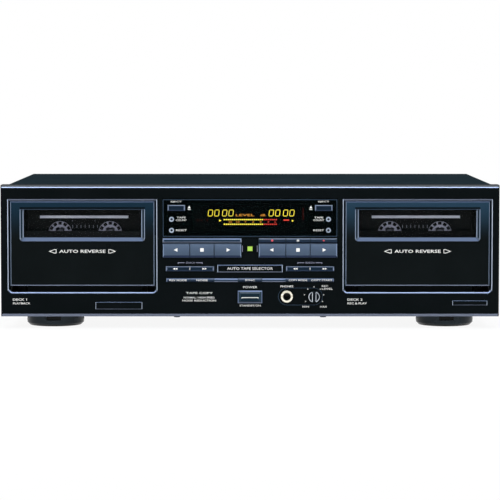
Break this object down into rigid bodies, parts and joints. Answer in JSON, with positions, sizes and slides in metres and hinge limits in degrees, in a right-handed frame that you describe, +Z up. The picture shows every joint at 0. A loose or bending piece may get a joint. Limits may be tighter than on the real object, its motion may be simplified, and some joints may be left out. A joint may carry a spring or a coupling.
{
  "type": "double cassette deck",
  "caption": "Full-width black cassette deck with tilting doors, loaded cassettes, a central display, transport keys, a level knob, and phono sockets behind.",
  "frame": {"origin": "on the floor, at the middle of the overall width and depth", "axes": "+X to the right of someone facing the front, +Y from front to back, +Z up"},
  "size_m": [0.42, 0.278, 0.121],
  "materials": {
    "chassis_steel": "zinc-plated sheet",
    "cover_paint": "fine-grain black-grey paint",
    "rear_paint": "black paint",
    "fascia_plastic": "satin black moulding",
    "display_glass": "smoked clear plastic",
    "board_laminate": "green laminate",
    "iron_core": "varnished laminations",
    "foot_plastic": "glossy black",
    "screw_steel": "blackened",
    "socket_gold": "gold-plated",
    "socket_plastic": "black moulding",
    "mechanism_steel": "plated",
    "motor_steel": "plated can",
    "belt_rubber": "ground",
    "door_plastic": "semi-gloss black",
    "window_glass": "clear plastic",
    "holder_plastic": "black moulding",
    "cassette_plastic": "dark shell",
    "spindle_plastic": "black acetal",
    "hub_plastic": "white acetal",
    "flywheel_steel": "turned",
    "head_metal": "plated",
    "key_plastic": "slate blue",
    "button_plastic": "dark slate blue",
    "power_plastic": "dark teal",
    "knob_plastic": "black"
  },
  "bodies": {
    "deck": {"chassis": "chassis_steel", "top_cover": "cover_paint", "rear_panel": "rear_paint", "front_panel": "fascia_plastic", "display_window": "display_glass", "circuit_boards": "board_laminate", "power_transformer": "iron_core", "feet": "foot_plastic", "screws": "screw_steel", "phones_jack": "socket_gold", "rear_sockets": "socket_plastic", "mechanism_frames": "mechanism_steel", "capstan_motors": "motor_steel", "drive_belts": "belt_rubber"},
    "door_1": {"door_1": "door_plastic", "door_window_1": "window_glass", "cassette_holder_1": "holder_plastic", "cassette_1": "cassette_plastic"},
    "supply_spindle_1": {"supply_spindle_1": "spindle_plastic"},
    "supply_hub_1": {"supply_hub_1": "hub_plastic"},
    "takeup_spindle_1": {"takeup_spindle_1": "spindle_plastic"},
    "takeup_hub_1": {"takeup_hub_1": "hub_plastic"},
    "forward_flywheel_1": {"forward_flywheel_1": "flywheel_steel"},
    "reverse_flywheel_1": {"reverse_flywheel_1": "flywheel_steel"},
    "head_plate_1": {"head_plate_1": "head_metal"},
    "eject_button_1": {"eject_button_1": "button_plastic"},
    "counter_button_1": {"counter_button_1": "button_plastic"},
    "reset_button_1": {"reset_button_1": "button_plastic"},
    "reverse_key_1": {"reverse_key_1": "key_plastic"},
    "stop_key_1": {"stop_key_1": "key_plastic"},
    "play_key_1": {"play_key_1": "key_plastic"},
    "search_rocker_1": {"search_rocker_1": "button_plastic"},
    "door_2": {"door_2": "door_plastic", "door_window_2": "window_glass", "cassette_holder_2": "holder_plastic", "cassette_2": "cassette_plastic"},
    "supply_spindle_2": {"supply_spindle_2": "spindle_plastic"},
    "supply_hub_2": {"supply_hub_2": "hub_plastic"},
    "takeup_spindle_2": {"takeup_spindle_2": "spindle_plastic"},
    "takeup_hub_2": {"takeup_hub_2": "hub_plastic"},
    "forward_flywheel_2": {"forward_flywheel_2": "flywheel_steel"},
    "reverse_flywheel_2": {"reverse_flywheel_2": "flywheel_steel"},
    "head_plate_2": {"head_plate_2": "head_metal"},
    "eject_button_2": {"eject_button_2": "button_plastic"},
    "counter_button_2": {"counter_button_2": "button_plastic"},
    "reset_button_2": {"reset_button_2": "button_plastic"},
    "reverse_key_2": {"reverse_key_2": "key_plastic"},
    "stop_key_2": {"stop_key_2": "key_plastic"},
    "play_key_2": {"play_key_2": "key_plastic"},
    "search_rocker_2": {"search_rocker_2": "button_plastic"},
    "record_key": {"record_key": "button_plastic"},
    "pause_key": {"pause_key": "button_plastic"},
    "mute_key": {"mute_key": "button_plastic"},
    "rev_mode_button": {"rev_mode_button": "button_plastic"},
    "noise_button": {"noise_button": "button_plastic"},
    "sync_button": {"sync_button": "button_plastic"},
    "copy_mode_button": {"copy_mode_button": "button_plastic"},
    "copy_start_button": {"copy_start_button": "button_plastic"},
    "power_button": {"power_button": "power_plastic"},
    "level_knob": {"level_knob": "knob_plastic"}
  },
  "joints": [
    {"name": "door_1_tilt", "type": "hinge", "parent": "deck", "child": "door_1", "pos_m": [-0.1397, -0.122, 0.018], "axis": [1, 0, 0], "range_deg": [0, 20]},
    {"name": "supply_spindle_1_spin", "type": "hinge", "parent": "deck", "child": "supply_spindle_1", "pos_m": [-0.16095, -0.115, 0.0798], "axis": [0, 1, 0], "continuous": true},
    {"name": "supply_hub_1_spin", "type": "hinge", "parent": "door_1", "child": "supply_hub_1", "pos_m": [-0.16095, -0.115, 0.0798], "axis": [0, 1, 0], "continuous": true},
    {"name": "takeup_spindle_1_spin", "type": "hinge", "parent": "deck", "child": "takeup_spindle_1", "pos_m": [-0.11845, -0.115, 0.0798], "axis": [0, 1, 0], "continuous": true},
    {"name": "takeup_hub_1_spin", "type": "hinge", "parent": "door_1", "child": "takeup_hub_1", "pos_m": [-0.11845, -0.115, 0.0798], "axis": [0, 1, 0], "continuous": true},
    {"name": "forward_flywheel_1_spin", "type": "hinge", "parent": "deck", "child": "forward_flywheel_1", "pos_m": [-0.1632, -0.1, 0.0493], "axis": [0, 1, 0], "continuous": true},
    {"name": "reverse_flywheel_1_spin", "type": "hinge", "parent": "deck", "child": "reverse_flywheel_1", "pos_m": [-0.1162, -0.1, 0.0493], "axis": [0, 1, 0], "continuous": true},
    {"name": "head_plate_1_lift", "type": "slide", "parent": "deck", "child": "head_plate_1", "axis": [0, 0, 1], "range_m": [0, 0.005]},
    {"name": "eject_button_1_press", "type": "slide", "parent": "deck", "child": "eject_button_1", "axis": [0, 1, 0], "range_m": [0, 0.0015], "stiffness_N_per_m": 300},
    {"name": "counter_button_1_press", "type": "slide", "parent": "deck", "child": "counter_button_1", "axis": [0, 1, 0], "range_m": [0, 0.0015], "stiffness_N_per_m": 300},
    {"name": "reset_button_1_press", "type": "slide", "parent": "deck", "child": "reset_button_1", "axis": [0, 1, 0], "range_m": [0, 0.0015], "stiffness_N_per_m": 300},
    {"name": "reverse_key_1_press", "type": "slide", "parent": "deck", "child": "reverse_key_1", "axis": [0, 1, 0], "range_m": [0, 0.0015], "stiffness_N_per_m": 300},
    {"name": "stop_key_1_press", "type": "slide", "parent": "deck", "child": "stop_key_1", "axis": [0, 1, 0], "range_m": [0, 0.0015], "stiffness_N_per_m": 300},
    {"name": "play_key_1_press", "type": "slide", "parent": "deck", "child": "play_key_1", "axis": [0, 1, 0], "range_m": [0, 0.0015], "stiffness_N_per_m": 300},
    {"name": "search_rocker_1_tilt", "type": "hinge", "parent": "deck", "child": "search_rocker_1", "pos_m": [-0.0506, -0.1282, 0.0505], "axis": [0, 0, 1], "range_deg": [-2, 2], "stiffness_Nm_per_rad": 0.06},
    {"name": "door_2_tilt", "type": "hinge", "parent": "deck", "child": "door_2", "pos_m": [0.1397, -0.122, 0.018], "axis": [1, 0, 0], "range_deg": [0, 20]},
    {"name": "supply_spindle_2_spin", "type": "hinge", "parent": "deck", "child": "supply_spindle_2", "pos_m": [0.11845, -0.115, 0.0798], "axis": [0, 1, 0], "continuous": true},
    {"name": "supply_hub_2_spin", "type": "hinge", "parent": "door_2", "child": "supply_hub_2", "pos_m": [0.11845, -0.115, 0.0798], "axis": [0, 1, 0], "continuous": true},
    {"name": "takeup_spindle_2_spin", "type": "hinge", "parent": "deck", "child": "takeup_spindle_2", "pos_m": [0.16095, -0.115, 0.0798], "axis": [0, 1, 0], "continuous": true},
    {"name": "takeup_hub_2_spin", "type": "hinge", "parent": "door_2", "child": "takeup_hub_2", "pos_m": [0.16095, -0.115, 0.0798], "axis": [0, 1, 0], "continuous": true},
    {"name": "forward_flywheel_2_spin", "type": "hinge", "parent": "deck", "child": "forward_flywheel_2", "pos_m": [0.1162, -0.1, 0.0493], "axis": [0, 1, 0], "continuous": true},
    {"name": "reverse_flywheel_2_spin", "type": "hinge", "parent": "deck", "child": "reverse_flywheel_2", "pos_m": [0.1632, -0.1, 0.0493], "axis": [0, 1, 0], "continuous": true},
    {"name": "head_plate_2_lift", "type": "slide", "parent": "deck", "child": "head_plate_2", "axis": [0, 0, 1], "range_m": [0, 0.005]},
    {"name": "eject_button_2_press", "type": "slide", "parent": "deck", "child": "eject_button_2", "axis": [0, 1, 0], "range_m": [0, 0.0015], "stiffness_N_per_m": 300},
    {"name": "counter_button_2_press", "type": "slide", "parent": "deck", "child": "counter_button_2", "axis": [0, 1, 0], "range_m": [0, 0.0015], "stiffness_N_per_m": 300},
    {"name": "reset_button_2_press", "type": "slide", "parent": "deck", "child": "reset_button_2", "axis": [0, 1, 0], "range_m": [0, 0.0015], "stiffness_N_per_m": 300},
    {"name": "reverse_key_2_press", "type": "slide", "parent": "deck", "child": "reverse_key_2", "axis": [0, 1, 0], "range_m": [0, 0.0015], "stiffness_N_per_m": 300},
    {"name": "stop_key_2_press", "type": "slide", "parent": "deck", "child": "stop_key_2", "axis": [0, 1, 0], "range_m": [0, 0.0015], "stiffness_N_per_m": 300},
    {"name": "play_key_2_press", "type": "slide", "parent": "deck", "child": "play_key_2", "axis": [0, 1, 0], "range_m": [0, 0.0015], "stiffness_N_per_m": 300},
    {"name": "search_rocker_2_tilt", "type": "hinge", "parent": "deck", "child": "search_rocker_2", "pos_m": [0.0506, -0.1282, 0.0505], "axis": [0, 0, 1], "range_deg": [-2, 2], "stiffness_Nm_per_rad": 0.06},
    {"name": "record_key_press", "type": "slide", "parent": "deck", "child": "record_key", "axis": [0, 1, 0], "range_m": [0, 0.0015], "stiffness_N_per_m": 300},
    {"name": "pause_key_press", "type": "slide", "parent": "deck", "child": "pause_key", "axis": [0, 1, 0], "range_m": [0, 0.0015], "stiffness_N_per_m": 300},
    {"name": "mute_key_press", "type": "slide", "parent": "deck", "child": "mute_key", "axis": [0, 1, 0], "range_m": [0, 0.0015], "stiffness_N_per_m": 300},
    {"name": "rev_mode_button_press", "type": "slide", "parent": "deck", "child": "rev_mode_button", "axis": [0, 1, 0], "range_m": [0, 0.0015], "stiffness_N_per_m": 300},
    {"name": "noise_button_press", "type": "slide", "parent": "deck", "child": "noise_button", "axis": [0, 1, 0], "range_m": [0, 0.0015], "stiffness_N_per_m": 300},
    {"name": "sync_button_press", "type": "slide", "parent": "deck", "child": "sync_button", "axis": [0, 1, 0], "range_m": [0, 0.0015], "stiffness_N_per_m": 300},
    {"name": "copy_mode_button_press", "type": "slide", "parent": "deck", "child": "copy_mode_button", "axis": [0, 1, 0], "range_m": [0, 0.0015], "stiffness_N_per_m": 300},
    {"name": "copy_start_button_press", "type": "slide", "parent": "deck", "child": "copy_start_button", "axis": [0, 1, 0], "range_m": [0, 0.0015], "stiffness_N_per_m": 300},
    {"name": "power_button_press", "type": "slide", "parent": "deck", "child": "power_button", "axis": [0, 1, 0], "range_m": [0, 0.0015], "stiffness_N_per_m": 300},
    {"name": "level_knob_turn", "type": "hinge", "parent": "deck", "child": "level_knob", "pos_m": [0.054, -0.133, 0.027], "axis": [0, 1, 0], "range_deg": [-150, 150]}
  ],
  "couplings": [
    {"joint": "supply_hub_1_spin", "follows": "supply_spindle_1_spin", "ratio": 1},
    {"joint": "takeup_hub_1_spin", "follows": "takeup_spindle_1_spin", "ratio": 1},
    {"joint": "reverse_flywheel_1_spin", "follows": "forward_flywheel_1_spin", "ratio": -1},
    {"joint": "supply_hub_2_spin", "follows": "supply_spindle_2_spin", "ratio": 1},
    {"joint": "takeup_hub_2_spin", "follows": "takeup_spindle_2_spin", "ratio": 1},
    {"joint": "reverse_flywheel_2_spin", "follows": "forward_flywheel_2_spin", "ratio": -1}
  ]
}
